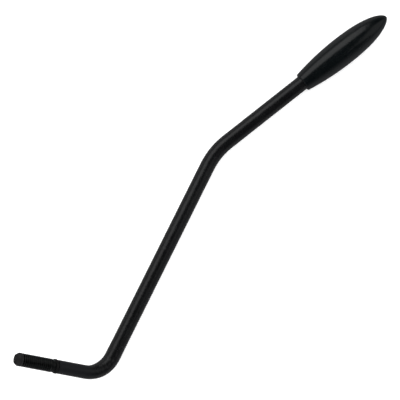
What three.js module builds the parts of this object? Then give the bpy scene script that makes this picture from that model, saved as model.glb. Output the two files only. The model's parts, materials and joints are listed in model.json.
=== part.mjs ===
// Screw-in tremolo arm of an electric guitar: a bent steel rod with a machine thread at one end and
// a bullet-shaped plastic tip at the other. Millimetres, +Z up. The arm lies as it would on a table:
// the middle length of the rod runs along +X and the threaded leg rises clear of the table.
import * as THREE from "three";

// Rod: one bar, its leg turned down to the thread's size and its far end to a smaller stud
const ROD_RADIUS = 5.5 / 2;
const LEG_RADIUS = 4.9 / 2;
const LEG_LENGTH = 35.4;
const MIDDLE_LENGTH = 90.6;
const HANDLE_LENGTH = 41.0;
const LEG_BEND_RADIUS = 10.0;
const HANDLE_BEND_RADIUS = 26.0;
const TAPER_SHARE = 0.6;

// Leg, from its flat end: chamfer, plain lead, M5 x 0.8 thread, relief neck, ring seat, shoulder
const LEG_CHAMFER = { depth: 0.6, length: 1.05 };
const LEG_THREAD = { from: 1.7, pitch: 0.8, turns: 15, crest: 4.85 / 2, root: 4.0 / 2 };
const NECK = { radius: 4.6 / 2, to: 14.95 };
const RING_SEAT = { radius: 3.8 / 2, to: 16.55 };

// Stud inside the tip: M4 x 0.7
const STUD = { relief: 0.8, reliefRadius: 3.1 / 2, chamfer: 0.5 };
const STUD_THREAD = { pitch: 0.7, turns: 17, crest: 3.9 / 2, root: 3.2 / 2 };

// Friction ring
const RING = { inner: 4.2 / 2, outer: 5.2 / 2, width: 0.95, edge: 0.2 };

// Tip, measured from its base: its radius swells to the widest place and closes in a blunt nose
const TIP = { length: 39.3, widest: 18.4, radius: 5.2, baseRadius: 3.5, swell: 1.95, lip: 0.35 };
const NOSE = { power: 2.4, root: 0.57 };
const TIP_SOCKET = { radius: ROD_RADIUS + 0.15, depth: 1.2 };
const TIP_BORE = { radius: 4.3 / 2, depth: 15.5 };
const SHOULDER_GAP = 0.3;

// Directions. The leg leaves its bend steeply to the side and upwards; the handle turns off gently
// and rises just enough for the tip, which is thicker than the rod, to lie on the table.
const LEG_SIDEWAYS = 108.5;
const LEG_RISE = 32;
const HANDLE_TURN = -25.5;
const HANDLE_RISE = THREE.MathUtils.radToDeg(
  Math.asin((TIP.radius - ROD_RADIUS) / (HANDLE_LENGTH + TIP.widest)),
);

// Facets
const ROUND_SIDES = 36;
const TIP_SIDES = 48;
const LEG_BEND_STEPS = 14;
const HANDLE_BEND_STEPS = 8;

const FORWARD = new THREE.Vector3(0, 1, 0);

const blackPlating = new THREE.MeshStandardMaterial({ color: 0x1a1b1d, roughness: 0.34, metalness: 0.7 });
const blackNylon = new THREE.MeshStandardMaterial({ color: 0x141416, roughness: 0.6, metalness: 0.0 });
const glossPlastic = new THREE.MeshStandardMaterial({ color: 0x111214, roughness: 0.2, metalness: 0.0 });

function direction(sideways, rise) {
  const spherical = new THREE.Vector3(1, 0, 0);
  spherical.applyAxisAngle(new THREE.Vector3(0, -1, 0), THREE.MathUtils.degToRad(rise));
  return spherical.applyAxisAngle(new THREE.Vector3(0, 0, 1), THREE.MathUtils.degToRad(sideways));
}

// The centreline as a wire bender makes it: feed a length, then turn to a new direction at a radius.
// at(distance) gives the place and the turn of the rod's own frame, whose local Y runs along the rod.
class Route {
  constructor(start, forward) {
    this.stretches = [];
    this.length = 0;
    this.position = start.clone();
    this.quaternion = new THREE.Quaternion().setFromUnitVectors(FORWARD, forward);
  }

  add(stretch) {
    const start = { position: this.position, quaternion: this.quaternion, from: this.length };
    this.stretches.push({ ...start, ...stretch });
    this.length += stretch.length;
    const end = this.at(this.length);
    this.position = end.position;
    this.quaternion = end.quaternion;
  }

  feed(length) {
    this.add({ length });
  }

  turnTo(target, radius) {
    const forward = FORWARD.clone().applyQuaternion(this.quaternion);
    const axis = forward.clone().cross(target).normalize();
    const towardsCentre = axis.clone().cross(forward);
    const centre = this.position.clone().addScaledVector(towardsCentre, radius);
    this.add({ length: radius * forward.angleTo(target), axis, radius, centre });
  }

  at(distance) {
    const stretch = this.stretches.findLast((candidate) => distance >= candidate.from);
    const along = distance - stretch.from;
    if (stretch.radius === undefined) {
      const step = FORWARD.clone().applyQuaternion(stretch.quaternion).multiplyScalar(along);
      return { position: stretch.position.clone().add(step), quaternion: stretch.quaternion.clone() };
    }
    const turn = new THREE.Quaternion().setFromAxisAngle(stretch.axis, along / stretch.radius);
    const spoke = stretch.position.clone().sub(stretch.centre).applyQuaternion(turn);
    return { position: spoke.add(stretch.centre), quaternion: turn.multiply(stretch.quaternion) };
  }
}

// Centreline of the rod, from the flat end of the leg to the end of the stud
const shoulderInTip = TIP_SOCKET.depth - SHOULDER_GAP;
const studLength = STUD.relief + STUD_THREAD.pitch * STUD_THREAD.turns + STUD.chamfer;
const towardsLegEnd = direction(LEG_SIDEWAYS, LEG_RISE);
const towardsTip = direction(HANDLE_TURN, HANDLE_RISE);
const alongMiddle = new THREE.Vector3(1, 0, 0);
const intoBend = towardsLegEnd.clone().negate();
const legSetback = LEG_BEND_RADIUS * Math.tan(intoBend.angleTo(alongMiddle) / 2);
const handleSetback = HANDLE_BEND_RADIUS * Math.tan(alongMiddle.angleTo(towardsTip) / 2);

const route = new Route(towardsLegEnd.clone().multiplyScalar(LEG_LENGTH), intoBend);
route.feed(LEG_LENGTH - legSetback);
const legBendFrom = route.length;
route.turnTo(alongMiddle, LEG_BEND_RADIUS);
const legBendTo = route.length;
route.feed(MIDDLE_LENGTH - legSetback - handleSetback);
const handleBendFrom = route.length;
route.turnTo(towardsTip, HANDLE_BEND_RADIUS);
const handleBendTo = route.length;
route.feed(HANDLE_LENGTH - handleSetback);
const tipBaseAt = route.length;
route.feed(shoulderInTip + studLength);

// A thread's outline, drawn as rings: down to the root and up to the crest once per turn
function threadOutline(thread, from) {
  const points = [new THREE.Vector2(thread.crest, from)];
  for (let turn = 0; turn < thread.turns; turn += 1) {
    points.push(new THREE.Vector2(thread.root, from + (turn + 0.5) * thread.pitch));
    points.push(new THREE.Vector2(thread.crest, from + (turn + 1) * thread.pitch));
  }
  return points;
}

function legOutline() {
  const threadTo = LEG_THREAD.from + LEG_THREAD.turns * LEG_THREAD.pitch;
  return [
    new THREE.Vector2(0, 0),
    new THREE.Vector2(LEG_THREAD.crest - LEG_CHAMFER.depth, 0),
    new THREE.Vector2(LEG_THREAD.crest, LEG_CHAMFER.length),
    ...threadOutline(LEG_THREAD, LEG_THREAD.from),
    new THREE.Vector2(NECK.radius, threadTo + 0.2),
    new THREE.Vector2(NECK.radius, NECK.to),
    new THREE.Vector2(RING_SEAT.radius, NECK.to + 0.05),
    new THREE.Vector2(RING_SEAT.radius, RING_SEAT.to),
    new THREE.Vector2(LEG_RADIUS - 0.1, RING_SEAT.to + 0.05),
    new THREE.Vector2(LEG_RADIUS, RING_SEAT.to + 0.2),
  ];
}

// The bar grows from the leg's size to full size along the first part of the bend
function legBendOutline() {
  const points = [];
  for (let step = 0; step <= LEG_BEND_STEPS; step += 1) {
    const share = step / LEG_BEND_STEPS;
    const grown = THREE.MathUtils.smoothstep(share, 0, TAPER_SHARE);
    const radius = THREE.MathUtils.lerp(LEG_RADIUS, ROD_RADIUS, grown);
    points.push(new THREE.Vector2(radius, THREE.MathUtils.lerp(legBendFrom, legBendTo, share)));
  }
  return points;
}

function handleBendOutline() {
  const points = [];
  for (let step = 0; step <= HANDLE_BEND_STEPS; step += 1) {
    const distance = THREE.MathUtils.lerp(handleBendFrom, handleBendTo, step / HANDLE_BEND_STEPS);
    points.push(new THREE.Vector2(ROD_RADIUS, distance));
  }
  return points;
}

function studOutline() {
  const shoulderAt = tipBaseAt + shoulderInTip;
  const threadAt = shoulderAt + STUD.relief;
  return [
    new THREE.Vector2(ROD_RADIUS, shoulderAt - 0.3),
    new THREE.Vector2(ROD_RADIUS - 0.3, shoulderAt),
    new THREE.Vector2(STUD.reliefRadius, shoulderAt + 0.02),
    new THREE.Vector2(STUD.reliefRadius, threadAt - 0.2),
    ...threadOutline(STUD_THREAD, threadAt),
    new THREE.Vector2(STUD_THREAD.crest - STUD.chamfer, route.length),
    new THREE.Vector2(0, route.length),
  ];
}

// Turned straight like a bar in a lathe, then laid along the bent centreline
function bendAlong(geometry, centreline) {
  const positions = geometry.attributes.position;
  const vertex = new THREE.Vector3();
  for (let index = 0; index < positions.count; index += 1) {
    vertex.fromBufferAttribute(positions, index);
    const place = centreline.at(vertex.y);
    vertex.y = 0;
    vertex.applyQuaternion(place.quaternion).add(place.position);
    positions.setXYZ(index, vertex.x, vertex.y, vertex.z);
  }
  geometry.computeVertexNormals();
  return geometry;
}

function makeArmRod() {
  const outline = [...legOutline(), ...legBendOutline(), ...handleBendOutline(), ...studOutline()];
  const geometry = bendAlong(new THREE.LatheGeometry(outline, ROUND_SIDES), route);
  const mesh = new THREE.Mesh(geometry, blackPlating);
  mesh.name = "arm_rod";
  return mesh;
}

function makeFrictionRing() {
  const outline = [
    new THREE.Vector2(RING.inner, 0),
    new THREE.Vector2(RING.outer - RING.edge, 0),
    new THREE.Vector2(RING.outer, RING.edge),
    new THREE.Vector2(RING.outer, RING.width - RING.edge),
    new THREE.Vector2(RING.outer - RING.edge, RING.width),
    new THREE.Vector2(RING.inner, RING.width),
    new THREE.Vector2(RING.inner, 0),
  ];
  const mesh = new THREE.Mesh(new THREE.LatheGeometry(outline, ROUND_SIDES), blackNylon);
  mesh.name = "friction_ring";
  const place = route.at((NECK.to + RING_SEAT.to - RING.width) / 2);
  mesh.position.copy(place.position);
  mesh.quaternion.copy(place.quaternion);
  return mesh;
}

function tipRadius(distance) {
  if (distance < TIP.widest) {
    const short = (TIP.radius - TIP.baseRadius) * (1 - distance / TIP.widest) ** TIP.swell;
    return TIP.radius - short;
  }
  const towardsNose = (distance - TIP.widest) / (TIP.length - TIP.widest);
  return TIP.radius * Math.max(0, 1 - towardsNose ** NOSE.power) ** NOSE.root;
}

function tipOutline() {
  const lipCentre = tipRadius(TIP.lip) - TIP.lip;
  const points = [
    new THREE.Vector2(0, TIP_BORE.depth),
    new THREE.Vector2(TIP_BORE.radius, TIP_BORE.depth - 0.8),
    new THREE.Vector2(TIP_BORE.radius, TIP_SOCKET.depth),
    new THREE.Vector2(TIP_SOCKET.radius, TIP_SOCKET.depth),
    new THREE.Vector2(TIP_SOCKET.radius, 0),
  ];
  for (let step = 0; step <= 4; step += 1) {
    const angle = (step / 4) * (Math.PI / 2);
    const out = lipCentre + TIP.lip * Math.sin(angle);
    points.push(new THREE.Vector2(out, TIP.lip * (1 - Math.cos(angle))));
  }
  for (let step = 1; step <= 9; step += 1) {
    const distance = THREE.MathUtils.lerp(TIP.lip, TIP.widest, step / 9);
    points.push(new THREE.Vector2(tipRadius(distance), distance));
  }
  for (let step = 1; step <= 18; step += 1) {
    const share = 1 - (1 - step / 18) ** 2;
    const distance = THREE.MathUtils.lerp(TIP.widest, TIP.length, share);
    points.push(new THREE.Vector2(step === 18 ? 0 : tipRadius(distance), distance));
  }
  return points;
}

function makeTip() {
  const mesh = new THREE.Mesh(new THREE.LatheGeometry(tipOutline(), TIP_SIDES), glossPlastic);
  mesh.name = "tip";
  const place = route.at(tipBaseAt);
  mesh.position.copy(place.position);
  mesh.quaternion.copy(place.quaternion);
  return mesh;
}

// The whole arm, with the middle of its footprint at the origin and its lowest point on z = 0
const arm = new THREE.Group();
arm.add(makeArmRod(), makeFrictionRing(), makeTip());
const box = new THREE.Box3().setFromObject(arm, true);
const footprint = box.getCenter(new THREE.Vector3());
arm.position.set(-footprint.x, -footprint.y, -box.min.z);

const part = new THREE.Group();
part.add(arm);

export default part;
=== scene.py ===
import json
import math

import bpy
import numpy as np
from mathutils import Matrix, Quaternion, Vector


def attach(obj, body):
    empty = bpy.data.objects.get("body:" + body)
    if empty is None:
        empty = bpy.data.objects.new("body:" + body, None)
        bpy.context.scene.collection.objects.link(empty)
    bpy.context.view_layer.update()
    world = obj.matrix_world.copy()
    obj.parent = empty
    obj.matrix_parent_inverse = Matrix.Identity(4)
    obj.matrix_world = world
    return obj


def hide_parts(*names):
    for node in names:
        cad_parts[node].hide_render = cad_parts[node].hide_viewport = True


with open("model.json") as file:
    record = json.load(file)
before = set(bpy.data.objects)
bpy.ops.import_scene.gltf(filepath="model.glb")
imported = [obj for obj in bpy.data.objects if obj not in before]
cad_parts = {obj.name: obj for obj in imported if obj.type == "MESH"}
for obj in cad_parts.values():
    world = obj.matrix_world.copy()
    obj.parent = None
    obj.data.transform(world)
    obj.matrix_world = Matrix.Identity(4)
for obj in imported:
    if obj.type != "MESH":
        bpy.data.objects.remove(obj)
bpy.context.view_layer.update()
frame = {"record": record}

MM = 0.001

# Rod, as in the CAD model
ROD_RADIUS = 2.75 * MM
LEG_RADIUS = 2.45 * MM
LEG_LENGTH = 35.4 * MM
MIDDLE_LENGTH = 90.6 * MM
HANDLE_LENGTH = 41.0 * MM
LEG_BEND_RADIUS = 10.0 * MM
HANDLE_BEND_RADIUS = 26.0 * MM

# The turned leg grows to the bar's size over this share of its bend. The bar swells a little there:
# the swell comes and goes over these shares of the bend, and ends past it.
TAPER_SHARE = 0.6
BEND_SWELL = 0.06 * MM
SWELL_RISE = (0.2, 0.8)
SWELL_FALL = (0.95, 1.6)

# Leg, from its flat end
LEG_CHAMFER = {"depth": 0.6 * MM, "length": 1.05 * MM}
LEG_THREAD = {"pitch": 0.8 * MM, "crest": 2.425 * MM, "root": 1.99 * MM}
LEG_THREAD_FROM = 1.7 * MM
LEG_THREAD_TO = 13.7 * MM
NECK_RADIUS = 2.3 * MM
SEAT_RADIUS = 1.9 * MM
SEAT = (14.95 * MM, 16.55 * MM)

# Stud inside the tip
STUD_THREAD = {"pitch": 0.7 * MM, "crest": 1.95 * MM, "root": 1.6 * MM}
STUD_RELIEF = {"length": 0.8 * MM, "radius": 1.55 * MM}
STUD_CHAMFER = 0.5 * MM
SHOULDER_IN_TIP = 0.9 * MM
STUD_LENGTH = 13.2 * MM

# Friction ring, which sits a little crooked in its seat
RING = {"inner": 2.0 * MM, "outer": 2.6 * MM, "width": 0.95 * MM, "edge": 0.24 * MM}
RING_LEAN = math.tan(math.radians(8.0))

# Tip, measured from its base: its radius swells to the widest place and closes in a blunt nose
TIP_LENGTH = 39.3 * MM
TIP_WIDEST = 18.4 * MM
TIP_RADIUS = 5.2 * MM
TIP_BASE_RADIUS = 3.5 * MM
TIP_SWELL = 1.95
NOSE = {"power": 2.4, "root": 0.57}
SOCKET_RADIUS = 2.9 * MM
SOCKET_DEPTH = 1.2 * MM
BORE_RADIUS = 2.15 * MM
BORE_DEPTH = 15.5 * MM
BORE_THREAD_DEPTH = 0.10 * MM

# Mesh: sides of the turned pieces, row spacings, and the small ring round each pole
ROD_SIDES = 96
RING_SIDES = 96
TIP_SIDES = 128
NOSE_ROWS = 70
NOSE_CROWDING = 2.2
STRAIGHT_STEP = 2.0 * MM
LEG_STEP = 1.5 * MM
BEND_STEP = 0.5 * MM
TAPER_STEP = 0.35 * MM
POLE_RADIUS = 0.05 * MM
SHARP_ANGLE = math.radians(36)

# One turn of a 60 degree thread: the share of the pitch, and the share of the depth
THREAD_PROFILE = (
    (-0.045, 0.0), (0.045, 0.0), (0.075, 0.05), (0.360, 0.93), (0.410, 1.0),
    (0.590, 1.0), (0.640, 0.93), (0.925, 0.05),
)

record = frame["record"]
thread_end = next(mount for mount in record["mounts"] if mount["name"] == "thread_end")
tip_joint = next(joint for joint in record["behaviour"]["joints"] if joint["name"] == "tip_unscrew")
LEG_END = Vector(thread_end["pos_m"])
INTO_BEND = -Vector(thread_end["axis"]).normalized()
ALONG_MIDDLE = Vector((1, 0, 0))
TOWARDS_TIP = Vector(tip_joint["axis"]).normalized()


# ---------------------------------------------------------------- centreline

class Route:
    """The rod's centreline, made as a wire bender makes it: feed a length, then turn at a radius."""

    def __init__(self, start, forward):
        self.stretches = []
        self.length = 0.0
        self.position = start.copy()
        self.turned = Vector((0, 1, 0)).rotation_difference(forward)

    def add(self, length, axis=None, radius=None, centre=None):
        self.stretches.append((self.length, self.position, self.turned, axis, radius, centre))
        self.length += length
        self.position, self.turned = self.at(self.length)

    def feed(self, length):
        self.add(length)

    def turn_to(self, target, radius):
        forward = self.turned @ Vector((0, 1, 0))
        axis = forward.cross(target).normalized()
        centre = self.position + axis.cross(forward) * radius
        self.add(radius * forward.angle(target), axis, radius, centre)

    def at(self, distance):
        """The centre and the turn of the rod's own frame, whose local Y runs along the rod."""
        known = [stretch for stretch in self.stretches if distance >= stretch[0]] or self.stretches[:1]
        start, position, turned, axis, radius, centre = known[-1]
        along = distance - start
        if radius is None:
            return position + (turned @ Vector((0, 1, 0))) * along, turned.copy()
        turn = Quaternion(axis, along / radius)
        return centre + turn @ (position - centre), turn @ turned


def setback(direction_in, direction_out, radius):
    """How far before the corner of two directions a bend of this radius starts."""
    return radius * math.tan(direction_in.angle(direction_out) / 2)


leg_setback = setback(INTO_BEND, ALONG_MIDDLE, LEG_BEND_RADIUS)
handle_setback = setback(ALONG_MIDDLE, TOWARDS_TIP, HANDLE_BEND_RADIUS)
route = Route(LEG_END, INTO_BEND)
route.feed(LEG_LENGTH - leg_setback)
LEG_BEND_FROM = route.length
route.turn_to(ALONG_MIDDLE, LEG_BEND_RADIUS)
LEG_BEND_TO = route.length
route.feed(MIDDLE_LENGTH - leg_setback - handle_setback)
HANDLE_BEND_FROM = route.length
route.turn_to(TOWARDS_TIP, HANDLE_BEND_RADIUS)
HANDLE_BEND_TO = route.length
route.feed(HANDLE_LENGTH - handle_setback)
TIP_BASE = route.length
route.feed(SHOULDER_IN_TIP + STUD_LENGTH)
ROD_END = route.length


# ---------------------------------------------------------------- mesh making

def smooth(low, high, value):
    """0 up to low and 1 from high, with a soft change between."""
    share = np.clip((value - low) / (high - low), 0.0, 1.0)
    return share * share * (3 - 2 * share)


class Skin:
    """Collects vertices on turned rings, with their places on the straight bar, then makes the piece."""

    def __init__(self, sides):
        self.sides = sides
        self.angles = np.linspace(0, 2 * math.pi, sides, endpoint=False)
        self.points, self.on_bar, self.faces = [], [], []

    def vertex(self, side, distance, radius, place):
        centre, turned = place(distance)
        angle = self.angles[side]
        x, z = math.sin(angle) * radius, math.cos(angle) * radius
        self.points.append(centre + turned @ Vector((x, 0, z)))
        self.on_bar.append((x, distance, z))
        return len(self.points) - 1

    def ring(self, distance, radius, place):
        """A straight ring. The centreline is asked for its place once."""
        here = place(distance)
        return [self.vertex(side, distance, radius, lambda _: here) for side in range(self.sides)]

    def face(self, *corners):
        """Keeps a face if its corners are different vertices, as a triangle if two are the same."""
        kept = [corner for index, corner in enumerate(corners) if corner != corners[index - 1]]
        if len(set(kept)) > 2:
            self.faces.append(tuple(kept))

    def band(self, first, second):
        for side in range(self.sides):
            following = (side + 1) % self.sides
            self.face(first[side], first[following], second[following], second[side])

    def cap(self, ring, distance, place, at_start):
        """Closes a ring with a fan to the axis."""
        pole = self.vertex(0, distance, 0.0, place)
        for side in range(self.sides):
            following = (side + 1) % self.sides
            pair = (ring[following], ring[side]) if at_start else (ring[side], ring[following])
            self.face(pole, *pair)

    def thread(self, before, start, end, thread, place, runout=0.7):
        """A right-hand 60 degree thread after the ring before it. Its rows follow the helix, those
        past either end merge into the plain ring there, and it fades in and out over runout pitches."""
        pitch, crest, depth = thread["pitch"], thread["crest"], thread["crest"] - thread["root"]
        way = 1 if end > start else -1
        after = self.ring(end, crest, place)
        low, high = min(start, end), max(start, end)
        turns = math.ceil((high - low) / pitch) + 2
        merging, fading = 0.02 * pitch, runout * pitch
        rows = []
        for share, deep in [(turn + at, deep) for turn in range(-1, turns) for at, deep in THREAD_PROFILE]:
            row = []
            for side in range(self.sides):
                distance = start + way * (share + way * side / self.sides) * pitch
                if (distance - start) * way <= merging:
                    row.append(before[side])
                elif (distance - end) * way >= -merging:
                    row.append(after[side])
                else:
                    fade = smooth(low, low + fading, distance)
                    fade = fade * (1 - smooth(high - fading, high, distance))
                    row.append(self.vertex(side, distance, crest - depth * deep * fade, place))
            rows.append(row)
        one_turn = len(THREAD_PROFILE) * way
        for index in range(len(rows) - 1):
            first, second = rows[index], rows[index + 1]
            for side in range(self.sides - 1):
                self.face(first[side], first[side + 1], second[side + 1], second[side])
            if 0 <= index + one_turn < len(rows) - 1:
                over_first, over_second = rows[index + one_turn], rows[index + one_turn + 1]
                self.face(first[-1], over_first[0], over_second[0], second[-1])
        return after

    def piece(self, name):
        mesh = bpy.data.meshes.new(name)
        mesh.from_pydata(self.points, [], self.faces)
        on_bar = mesh.attributes.new("on_bar", "FLOAT_VECTOR", "POINT")
        on_bar.data.foreach_set("vector", np.array(self.on_bar, dtype=np.float32).ravel())
        mesh.update()
        mesh.polygons.foreach_set("use_smooth", [True] * len(mesh.polygons))
        mesh.set_sharp_from_angle(angle=SHARP_ANGLE)
        piece = bpy.data.objects.new(name, mesh)
        bpy.context.scene.collection.objects.link(piece)
        return piece


def spaced(start, end, step):
    """Distances from start up to end, about step apart, without the end itself."""
    count = max(1, round((end - start) / step))
    return [start + (end - start) * index / count for index in range(count)]


def outline(corners, steps=4):
    """Rows of (distance, radius) along straight lines. Each corner is (distance, radius, rounding),
    and a rounded one gets a further row just before and after it, which keeps its shading tight."""
    rows = []
    for index, (distance, radius, rounding) in enumerate(corners):
        if not rounding:
            rows.append((distance, radius))
            continue
        corner = np.array([distance, radius])
        back = np.array(corners[index - 1][:2]) - corner
        ahead = np.array(corners[index + 1][:2]) - corner
        back, ahead = back / np.linalg.norm(back), ahead / np.linalg.norm(ahead)
        half = math.acos(float(np.clip(back @ ahead, -1, 1))) / 2
        reach = rounding / math.tan(half)
        middle = (back + ahead) / np.linalg.norm(back + ahead)
        centre = corner + middle * rounding / math.sin(half)
        turned_by = math.pi - 2 * half
        side = np.array([-middle[1], middle[0]])
        side = side if side @ back > 0 else -side
        support = reach + 0.5 * rounding
        rows.append(tuple(corner + back * support))
        for step in range(steps + 1):
            angle = turned_by * (0.5 - step / steps)
            rows.append(tuple(centre + rounding * (side * math.sin(angle) - middle * math.cos(angle))))
        rows.append(tuple(corner + ahead * support))
    return rows


def skin_rows(skin, rows, place, last=None):
    """Joins plain rings, given as (distance, radius), after the ring that came last."""
    for distance, radius in rows:
        ring = skin.ring(distance, radius, place)
        if last is None:
            skin.cap(ring, distance, place, at_start=True)
        else:
            skin.band(last, ring)
        last = ring
    return last


# ---------------------------------------------------------------- the rod

def bend_radius(distance):
    """The turned leg grows to full size along the bend, which swells a little where it was pressed."""
    share = (distance - LEG_BEND_FROM) / (LEG_BEND_TO - LEG_BEND_FROM)
    grown = smooth(0.0, TAPER_SHARE, share)
    swell = BEND_SWELL * smooth(*SWELL_RISE, share) * (1 - smooth(*SWELL_FALL, share))
    return float(LEG_RADIUS + (ROD_RADIUS - LEG_RADIUS) * grown + swell)


def add_leg(skin, place):
    """The chamfered flat end, the thread, the neck and the ring's seat."""
    crest = LEG_THREAD["crest"]
    last = skin_rows(skin, outline([
        (0.0, POLE_RADIUS, 0),
        (0.0, 0.90 * MM, 0),
        (0.0, crest - LEG_CHAMFER["depth"], 0.07 * MM),
        (LEG_CHAMFER["length"], crest, 0.10 * MM),
        (LEG_THREAD_FROM, crest, 0),
    ]), place)
    last = skin.thread(last, LEG_THREAD_FROM, LEG_THREAD_TO, LEG_THREAD, place)
    return skin_rows(skin, outline([
        (LEG_THREAD_TO, crest, 0),
        (LEG_THREAD_TO + 0.15 * MM, crest, 0.04 * MM),
        (LEG_THREAD_TO + 0.28 * MM, NECK_RADIUS, 0.04 * MM),
        (SEAT[0], NECK_RADIUS, 0.05 * MM),
        (SEAT[0], SEAT_RADIUS, 0.06 * MM),
        (SEAT[1], SEAT_RADIUS, 0.06 * MM),
        (SEAT[1], LEG_RADIUS - 0.12 * MM, 0.03 * MM),
        (SEAT[1] + 0.12 * MM, LEG_RADIUS, 0.05 * MM),
        (SEAT[1] + 0.60 * MM, LEG_RADIUS, 0),
    ])[1:], place, last)


def add_bar(skin, place, last, shoulder):
    """The plain bar from the ring's seat, through both bends, to the shoulder inside the tip."""
    swell_to = LEG_BEND_FROM + SWELL_FALL[1] * (LEG_BEND_TO - LEG_BEND_FROM)
    rows = [(distance, LEG_RADIUS) for distance in spaced(SEAT[1] + MM, LEG_BEND_FROM, LEG_STEP)]
    rows += [(distance, bend_radius(distance)) for distance in spaced(LEG_BEND_FROM, swell_to, TAPER_STEP)]
    for start, end, step in (
        (swell_to, HANDLE_BEND_FROM, STRAIGHT_STEP),
        (HANDLE_BEND_FROM, HANDLE_BEND_TO, BEND_STEP),
        (HANDLE_BEND_TO, shoulder - 0.5 * MM, STRAIGHT_STEP),
    ):
        rows += [(distance, ROD_RADIUS) for distance in spaced(start, end, step)]
    return skin_rows(skin, rows, place, last)


def add_stud(skin, place, last, shoulder):
    """The shoulder, the relief, the stud's thread and its chamfered end."""
    crest, relief = STUD_THREAD["crest"], STUD_RELIEF["radius"]
    thread_from, thread_to = shoulder + STUD_RELIEF["length"], ROD_END - STUD_CHAMFER
    last = skin_rows(skin, outline([
        (shoulder - 0.50 * MM, ROD_RADIUS, 0),
        (shoulder - 0.30 * MM, ROD_RADIUS, 0.08 * MM),
        (shoulder, ROD_RADIUS - 0.30 * MM, 0.06 * MM),
        (shoulder, relief, 0.10 * MM),
        (thread_from - 0.40 * MM, relief, 0.06 * MM),
        (thread_from - 0.08 * MM, crest, 0.04 * MM),
        (thread_from, crest, 0),
    ]), place, last)
    last = skin.thread(last, thread_from, thread_to, STUD_THREAD, place)
    last = skin_rows(skin, outline([
        (thread_to, crest, 0),
        (thread_to + 0.06 * MM, crest, 0.04 * MM),
        (ROD_END, crest - STUD_CHAMFER, 0.06 * MM),
        (ROD_END, 0.60 * MM, 0),
        (ROD_END, POLE_RADIUS, 0),
    ])[1:], place, last)
    skin.cap(last, ROD_END, place, at_start=False)


def make_rod():
    skin = Skin(ROD_SIDES)
    shoulder = TIP_BASE + SHOULDER_IN_TIP
    last = add_leg(skin, route.at)
    last = add_bar(skin, route.at, last, shoulder)
    add_stud(skin, route.at, last, shoulder)
    return skin.piece("bent_rod")


# ---------------------------------------------------------------- ring and tip

def make_ring():
    """A moulded nylon ring with rounded edges, which leans in its seat."""
    inner, outer, half, edge = RING["inner"], RING["outer"], RING["width"] / 2, RING["edge"]
    inner_edge = 0.05 * MM
    middle = (SEAT[0] + SEAT[1]) / 2
    corners = [
        (-half, outer, edge), (half, outer, edge), (half, inner, inner_edge), (-half, inner, inner_edge),
    ]
    loop = outline([(-half, inner, 0)] + corners + [(-half, outer, 0)], steps=6)[1:-1]
    centre, turned = route.at(middle)
    along = turned @ Vector((0, 1, 0))

    def place(distance):
        return centre + along * distance, turned

    skin = Skin(RING_SIDES)
    rings = [skin.ring(distance, radius, place) for distance, radius in loop]
    for first, second in zip(rings, rings[1:] + rings[:1]):
        skin.band(first, second)
    for index, point in enumerate(skin.points):
        skin.points[index] = point - along * RING_LEAN * (point - centre).dot(ALONG_MIDDLE)
    return skin.piece("friction_ring_band")


def tip_radius(distance):
    if distance < TIP_WIDEST:
        short = (TIP_RADIUS - TIP_BASE_RADIUS) * (1 - distance / TIP_WIDEST) ** TIP_SWELL
        return TIP_RADIUS - short
    towards_nose = (distance - TIP_WIDEST) / (TIP_LENGTH - TIP_WIDEST)
    return TIP_RADIUS * max(0.0, 1 - towards_nose ** NOSE["power"]) ** NOSE["root"]


def make_tip():
    """The outline runs from the bottom of the bore out through its mouth, round the lip to the nose."""
    skin = Skin(TIP_SIDES)
    thread_from, thread_to = BORE_DEPTH - 0.6 * MM, SOCKET_DEPTH + 0.4 * MM
    last = skin_rows(skin, outline([
        (BORE_DEPTH, POLE_RADIUS, 0),
        (BORE_DEPTH, BORE_RADIUS, 0.20 * MM),
        (thread_from, BORE_RADIUS, 0),
    ]), on_tip)
    tapped = {"pitch": STUD_THREAD["pitch"], "crest": BORE_RADIUS, "root": BORE_RADIUS - BORE_THREAD_DEPTH}
    last = skin.thread(last, thread_from, thread_to, tapped, on_tip)
    last = skin_rows(skin, outline([
        (thread_to, BORE_RADIUS, 0),
        (SOCKET_DEPTH, BORE_RADIUS, 0.06 * MM),
        (SOCKET_DEPTH, SOCKET_RADIUS, 0.08 * MM),
        (0.0, SOCKET_RADIUS, 0.07 * MM),
        (0.0, TIP_BASE_RADIUS, 0.26 * MM),
        (1.2 * MM, tip_radius(1.2 * MM), 0),
    ], steps=6)[1:], on_tip, last)
    rows = [(distance, tip_radius(distance)) for distance in spaced(1.7 * MM, TIP_WIDEST, BEND_STEP)]
    for row in range(NOSE_ROWS):
        share = 1 - (1 - row / NOSE_ROWS) ** NOSE_CROWDING
        distance = TIP_WIDEST + (TIP_LENGTH - TIP_WIDEST) * share
        rows.append((distance, tip_radius(distance)))
    last = skin_rows(skin, rows, on_tip, last)
    skin.cap(last, TIP_LENGTH, on_tip, at_start=False)
    return skin.piece("bullet_tip")


def on_tip(distance):
    base, turned = route.at(TIP_BASE)
    return base + (turned @ Vector((0, 1, 0))) * distance, turned


# ---------------------------------------------------------------- materials

# Colours are linear. A pair is the two ends of a slight variation.
PLATING = ((0.0012, 0.00145, 0.0017, 1), (0.0024, 0.0027, 0.0030, 1))
TURNED_LEG = (0.0022, 0.0026, 0.0048, 1)
PLAIN_LEAD = (0.0034, 0.0033, 0.0040, 1)
THREAD_FLANK = (0.0020, 0.0026, 0.0025, 1)
# Lighter thread crests: burnished wear, and also a painted highlight on the crests
CREST_WEAR_AND_HIGHLIGHT = (0.0185, 0.0200, 0.0200, 1)
NECK_METAL = (0.0060, 0.0070, 0.0068, 1)
FACE_METAL = (0.0095, 0.0093, 0.0105, 1)
NYLON = ((0.0016, 0.0016, 0.0017, 1), (0.0040, 0.0040, 0.0042, 1))
GLOSS_BLACK = ((0.0006, 0.0015, 0.0019, 1), (0.0011, 0.0024, 0.0028, 1))
GLOSS_IOR = 1.5

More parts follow.
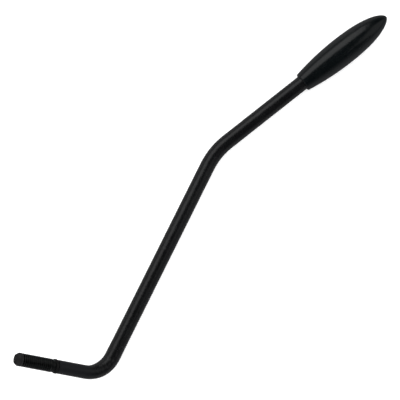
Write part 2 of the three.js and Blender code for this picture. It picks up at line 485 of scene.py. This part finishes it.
# The finish changes over this stretch, counted from where the leg's bend starts or ends
FINISH_CHANGE = (-1.8 * MM, 5.2 * MM)
# The crests are lighter, partly burnished by use and partly a painted highlight: this comes on between these
# radii, and stops where the thread runs out
WORN_AND_HIGHLIT_RADII = (2.28 * MM, 2.40 * MM)
RUNOUT = 0.5 * MM
# The turning marks on the leg's flat end
FACING_PITCH = 0.16 * MM


class Graph:
    """A small helper to build node materials in a few readable lines."""

    def __init__(self, name):
        self.material = bpy.data.materials.new(name)
        self.material.use_nodes = True
        self.tree = self.material.node_tree
        self.shader = self.tree.nodes["Principled BSDF"]

    @classmethod
    def of_tree(cls, tree):
        graph = cls.__new__(cls)
        graph.tree = tree
        return graph

    def node(self, kind, inputs=None, **settings):
        made = self.tree.nodes.new(kind)
        for key, value in settings.items():
            setattr(made, key, value)
        for key, value in (inputs or {}).items():
            if isinstance(value, bpy.types.NodeSocket):
                self.tree.links.new(value, made.inputs[key])
            else:
                made.inputs[key].default_value = value
        return made

    def noise(self, vector, scale, detail=2.0, roughness=0.5):
        """Noise around 0.5. scale is its cells in a metre, or in a unit of a stretched vector."""
        made = self.node("ShaderNodeTexNoise", {
            "Vector": vector, "Scale": scale, "Detail": detail, "Roughness": roughness,
        })
        return made.outputs["Fac"]

    def spread(self, value, low, high, to_low, to_high):
        made = self.node("ShaderNodeMapRange", {
            "Value": value, "From Min": low, "From Max": high, "To Min": to_low, "To Max": to_high,
        })
        return made.outputs["Result"]

    def varied(self, noise, colours):
        """A mix of two colours, as the noise has it."""
        return self.colour_mix(self.spread(noise, 0.3, 0.7, 0.0, 1.0), *colours)

    def step(self, value, low, high):
        """0 at low and 1 at high, with a soft change between. low may be the larger of the two."""
        made = self.node("ShaderNodeMapRange", {
            "Value": value, "From Min": low, "From Max": high,
        }, interpolation_type="SMOOTHSTEP")
        return made.outputs["Result"]

    def between(self, value, rise, fall):
        """1 from rise to fall and 0 outside. Both are (from, to), for soft ends."""
        return self.math("MULTIPLY", self.step(value, *rise), self.step(value, *reversed(fall)))

    def math(self, operation, *values):
        made = self.node("ShaderNodeMath", dict(enumerate(values)), operation=operation)
        return made.outputs["Value"]

    def scaled(self, value, by, plus=0.0):
        return self.math("MULTIPLY_ADD", value, by, plus)

    def colour_mix(self, share, first, second):
        made = self.node("ShaderNodeMix", {"Factor": share}, data_type="RGBA")
        for socket, value in (("A_Color", first), ("B_Color", second)):
            target = next(item for item in made.inputs if item.identifier == socket)
            if isinstance(value, bpy.types.NodeSocket):
                self.tree.links.new(value, target)
            else:
                target.default_value = value
        return next(item for item in made.outputs if item.identifier == "Result_Color")

    def stretched(self, vector, scale):
        made = self.node("ShaderNodeMapping", {"Vector": vector, "Scale": scale})
        return made.outputs["Vector"]

    def surface(self, socket, value):
        if isinstance(value, bpy.types.NodeSocket):
            self.tree.links.new(value, self.shader.inputs[socket])
        else:
            self.shader.inputs[socket].default_value = value

    def bump(self, height, strength, distance, under=None):
        inputs = {"Height": height, "Strength": strength, "Distance": distance}
        if under is not None:
            inputs["Normal"] = under
        return self.node("ShaderNodeBump", inputs).outputs["Normal"]


def black_plating():
    """Black plated steel: drawing lines along the bar, fine grain, a duller turned leg and a dented skin
    where it was bent. The thread is dark, its crests lighter from burnishing by use and from a painted
    highlight, and the neck and the flat end are barer metal, the end with turning marks."""
    graph = Graph("black_plating")
    bar = graph.node("ShaderNodeAttribute", attribute_name="on_bar").outputs["Vector"]
    parts = graph.node("ShaderNodeSeparateXYZ", {"Vector": bar}).outputs
    along = parts["Y"]
    flat = graph.node("ShaderNodeCombineXYZ", {"X": parts["X"], "Y": parts["Z"], "Z": 0.0}).outputs["Vector"]
    radius = graph.node("ShaderNodeVectorMath", {0: flat}, operation="LENGTH").outputs["Value"]

    clouds = graph.noise(bar, scale=150.0, detail=3.0, roughness=0.6)
    mottle = graph.noise(bar, scale=1100.0, detail=3.0, roughness=0.6)
    dents = graph.noise(bar, scale=420.0, detail=2.0, roughness=0.5)
    grain = graph.noise(bar, scale=6500.0, detail=2.0, roughness=0.6)
    drawn_out = graph.stretched(bar, (5200.0, 45.0, 5200.0))
    lines = graph.noise(drawn_out, scale=1.0, detail=3.0, roughness=0.6)

    bend_from = tuple(LEG_BEND_FROM + change for change in FINISH_CHANGE)
    bend_to = tuple(LEG_BEND_TO + change for change in FINISH_CHANGE)
    thread_from = (LEG_THREAD_FROM - 0.2 * MM, LEG_THREAD_FROM + 0.5 * MM)
    thread_to = (LEG_THREAD_TO - 0.2 * MM, LEG_THREAD_TO + 0.05 * MM)
    turned = graph.step(along, *reversed(bend_from))
    bent = graph.between(along, bend_from, bend_to)
    threaded = graph.between(along, thread_from, thread_to)
    neck = graph.between(along, thread_to, (SEAT[0], SEAT[0] + 0.1 * MM))
    lead = graph.step(along, LEG_THREAD_FROM + 0.1 * MM, LEG_THREAD_FROM - 0.5 * MM)
    face = graph.step(along, 0.02 * MM, 0.0)
    dull = graph.math("SUBTRACT", turned, graph.math("ADD", threaded, neck))
    full_depth = graph.math("MULTIPLY", threaded, graph.step(along, LEG_THREAD_TO, LEG_THREAD_TO - RUNOUT))
    crest = graph.math("MULTIPLY", full_depth, graph.step(radius, *WORN_AND_HIGHLIT_RADII))
    # The crests' lighter colour is partly burnished wear and partly a painted highlight
    worn_and_highlit = graph.math("MULTIPLY", crest, graph.spread(mottle, 0.35, 0.65, 0.35, 1.0))

    colour = graph.varied(clouds, PLATING)
    for share, tint in (
        (graph.scaled(dull, by=0.6), TURNED_LEG), (lead, PLAIN_LEAD), (threaded, THREAD_FLANK),
        (neck, NECK_METAL), (face, FACE_METAL), (worn_and_highlit, CREST_WEAR_AND_HIGHLIGHT),
    ):
        colour = graph.colour_mix(share, colour, tint)
    graph.surface("Base Color", colour)
    bare = graph.scaled(neck, by=0.6, plus=graph.scaled(face, by=0.8))
    graph.surface("Metallic", graph.math("ADD", bare, graph.math("SUBTRACT", threaded, crest)))
    graph.surface("IOR", GLOSS_IOR)

    sheen = graph.scaled(dull, by=0.28, plus=0.24)
    sheen = graph.math("ADD", sheen, graph.spread(clouds, 0.25, 0.75, -0.03, 0.04))
    sheen = graph.math("ADD", sheen, graph.spread(mottle, 0.3, 0.7, -0.03, 0.03))
    graph.surface("Roughness", graph.scaled(crest, by=-0.10, plus=sheen))

    facing = graph.math("SINE", graph.scaled(radius, by=2 * math.pi / FACING_PITCH))
    uneven = graph.scaled(bent, by=0.10, plus=graph.scaled(turned, by=-0.55, plus=0.95))
    skin = graph.bump(lines, strength=0.5, distance=0.04 * MM)
    skin = graph.bump(graph.math("MULTIPLY", facing, face), strength=0.6, distance=0.012 * MM, under=skin)
    skin = graph.bump(mottle, strength=uneven, distance=0.08 * MM, under=skin)
    skin = graph.bump(dents, strength=graph.scaled(bent, by=0.8), distance=0.35 * MM, under=skin)
    graph.surface("Normal", graph.bump(grain, strength=0.6, distance=0.02 * MM, under=skin))
    return graph.material


def black_nylon():
    """The ring: dull black nylon with a fine moulded grain."""
    graph = Graph("black_nylon")
    place = graph.node("ShaderNodeAttribute", attribute_name="on_bar").outputs["Vector"]
    grain = graph.noise(place, scale=3800.0, detail=3.0, roughness=0.6)
    graph.surface("Base Color", graph.varied(grain, NYLON))
    graph.surface("Roughness", graph.spread(grain, 0.3, 0.7, 0.50, 0.66))
    graph.surface("Normal", graph.bump(grain, strength=0.3, distance=0.02 * MM))
    graph.surface("Specular IOR Level", 0.3)
    return graph.material


def gloss_plastic():
    """Moulded gloss plastic: a slightly wavy skin, an uneven gloss and faint rubbing from the hand."""
    graph = Graph("gloss_plastic")
    place = graph.node("ShaderNodeAttribute", attribute_name="on_bar").outputs["Vector"]
    waves = graph.noise(place, scale=170.0, detail=1.0, roughness=0.4)
    clouds = graph.noise(place, scale=420.0, detail=3.0, roughness=0.6)
    peel = graph.noise(place, scale=1000.0, detail=2.0, roughness=0.5)
    grain = graph.noise(place, scale=5200.0, detail=2.0, roughness=0.6)
    drawn_out = graph.stretched(place, (2600.0, 160.0, 2600.0))
    rubs = graph.noise(drawn_out, scale=1.0, detail=4.0, roughness=0.65)
    graph.surface("Base Color", graph.varied(clouds, GLOSS_BLACK))
    gloss = graph.spread(clouds, 0.3, 0.7, 0.205, 0.260)
    graph.surface("Roughness", graph.math("ADD", gloss, graph.spread(rubs, 0.55, 0.8, 0.0, 0.10)))
    graph.surface("IOR", GLOSS_IOR)
    skin = graph.bump(waves, strength=0.5, distance=0.15 * MM)
    skin = graph.bump(peel, strength=0.5, distance=0.06 * MM, under=skin)
    skin = graph.bump(rubs, strength=0.4, distance=0.02 * MM, under=skin)
    graph.surface("Normal", graph.bump(grain, strength=0.35, distance=0.015 * MM, under=skin))
    return graph.material


# ---------------------------------------------------------------- the object

def add_piece(piece, material, node, body):
    piece.data.materials.append(material)
    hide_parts(node)
    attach(piece, body)


add_piece(make_rod(), black_plating(), "arm_rod", "arm")
add_piece(make_ring(), black_nylon(), "friction_ring", "arm")
add_piece(make_tip(), gloss_plastic(), "tip", "tip")


# ---------------------------------------------------------------- table, light and camera

VIEW_AZIMUTH = math.radians(-63.88)
VIEW_ELEVATION = math.radians(80.0)
VIEW_DISTANCE = 0.8
VIEW_TARGET = Vector((-0.0030, 0.00022, 0.0))
VIEW_LENS = 198.1
SENSOR_WIDTH = 36.0

# Linear greys. Seen is what the camera sees, and reflected is what shows in the gloss: that changes
# over a stretch of Y on the table, and from the tent's skirt to its roof overhead.
TABLE_HALF = 3.0
TABLE_SEEN = (0.90, 0.90, 0.90, 1)
TABLE_REFLECTED = ((0.19, 0.19, 0.195, 1), (0.24, 0.24, 0.245, 1))
TABLE_CHANGE = (-0.03, 0.09)
TABLE_GLOW = 0.32
TENT_SKIRT = ((0.23, 0.23, 0.24, 1), (0.48, 0.48, 0.49, 1))
TENT_ROOF = (0.012, 0.012, 0.013, 1)
WHITE = (1.0, 1.0, 1.0, 1)


def direction(azimuth, elevation):
    return Vector((
        math.sin(azimuth) * math.cos(elevation),
        -math.cos(azimuth) * math.cos(elevation),
        math.sin(elevation),
    ))


def make_camera():
    data = bpy.data.cameras.new("camera")
    data.sensor_width = SENSOR_WIDTH
    data.lens = VIEW_LENS
    data.clip_start, data.clip_end = 0.01, 20.0
    camera = bpy.data.objects.new("camera", data)
    back = direction(VIEW_AZIMUTH, VIEW_ELEVATION)
    camera.location = VIEW_TARGET + back * VIEW_DISTANCE
    camera.rotation_mode = "QUATERNION"
    camera.rotation_quaternion = (-back).to_track_quat("-Z", "Y")
    bpy.context.scene.collection.objects.link(camera)
    bpy.context.scene.camera = camera


def make_light(name, azimuth, elevation, distance, size, radiance, glossy=True):
    """A soft box that faces the object. radiance is how bright its own face looks, 1 being white."""
    data = bpy.data.lights.new(name, "AREA")
    data.shape = "RECTANGLE"
    data.size, data.size_y = size
    data.energy = radiance * math.pi * size[0] * size[1]
    light = bpy.data.objects.new(name, data)
    back = direction(math.radians(azimuth), math.radians(elevation))
    light.location = back * distance
    light.rotation_mode = "QUATERNION"
    light.rotation_quaternion = (-back).to_track_quat("-Z", "Y")
    light.visible_glossy = glossy
    bpy.context.scene.collection.objects.link(light)


def make_table():
    """A white table that reflects less into the gloss than the camera sees, as under a light tent."""
    half = TABLE_HALF
    mesh = bpy.data.meshes.new("table")
    corners = [(-half, -half, 0), (half, -half, 0), (half, half, 0), (-half, half, 0)]
    mesh.from_pydata(corners, [], [(0, 1, 2, 3)])
    table = bpy.data.objects.new("table", mesh)
    bpy.context.scene.collection.objects.link(table)
    graph = Graph("pale_table")
    seen = graph.node("ShaderNodeLightPath").outputs["Is Camera Ray"]
    place = graph.node("ShaderNodeTexCoord").outputs["Object"]
    far = graph.node("ShaderNodeSeparateXYZ", {"Vector": place}).outputs["Y"]
    reflected = graph.colour_mix(graph.step(far, *TABLE_CHANGE), *TABLE_REFLECTED)
    graph.surface("Base Color", graph.colour_mix(seen, reflected, TABLE_SEEN))
    graph.surface("Emission Color", WHITE)
    graph.surface("Emission Strength", graph.scaled(seen, by=TABLE_GLOW))
    graph.surface("Roughness", 0.9)
    graph.surface("Specular IOR Level", 0.0)
    mesh.materials.append(graph.material)


def make_world():
    """White to the camera and on matt surfaces; the gloss sees a tent that is dark overhead."""
    world = bpy.data.worlds.new("studio")
    world.use_nodes = True
    graph = Graph.of_tree(world.node_tree)
    towards = graph.node("ShaderNodeSeparateXYZ", {
        "Vector": graph.node("ShaderNodeTexCoord").outputs["Generated"],
    }).outputs
    skirt = graph.colour_mix(graph.step(towards["Y"], 0.0, 0.8), *TENT_SKIRT)
    tent = graph.colour_mix(graph.spread(towards["Z"], 0.0, 0.5, 0.0, 1.0), skirt, TENT_ROOF)
    path = graph.node("ShaderNodeLightPath")
    seen = graph.colour_mix(path.outputs["Is Glossy Ray"], WHITE, tent)
    background = world.node_tree.nodes["Background"]
    world.node_tree.links.new(seen, background.inputs["Color"])
    background.inputs["Strength"].default_value = 1.0
    bpy.context.scene.world = world


make_camera()
make_table()
make_world()
make_light("key_softbox", azimuth=149, elevation=51, distance=0.9, size=(0.9, 0.7), radiance=1.0)
make_light("fill_card", azimuth=34, elevation=37, distance=0.9, size=(0.78, 0.70), radiance=0.34)
make_light("back_card", azimuth=262, elevation=34, distance=0.9, size=(0.6, 0.5), radiance=1.0)
make_light("top_fill", azimuth=0, elevation=88, distance=1.2, size=(0.8, 0.8), radiance=2.6, glossy=False)
bpy.context.scene.view_settings.view_transform = "Standard"
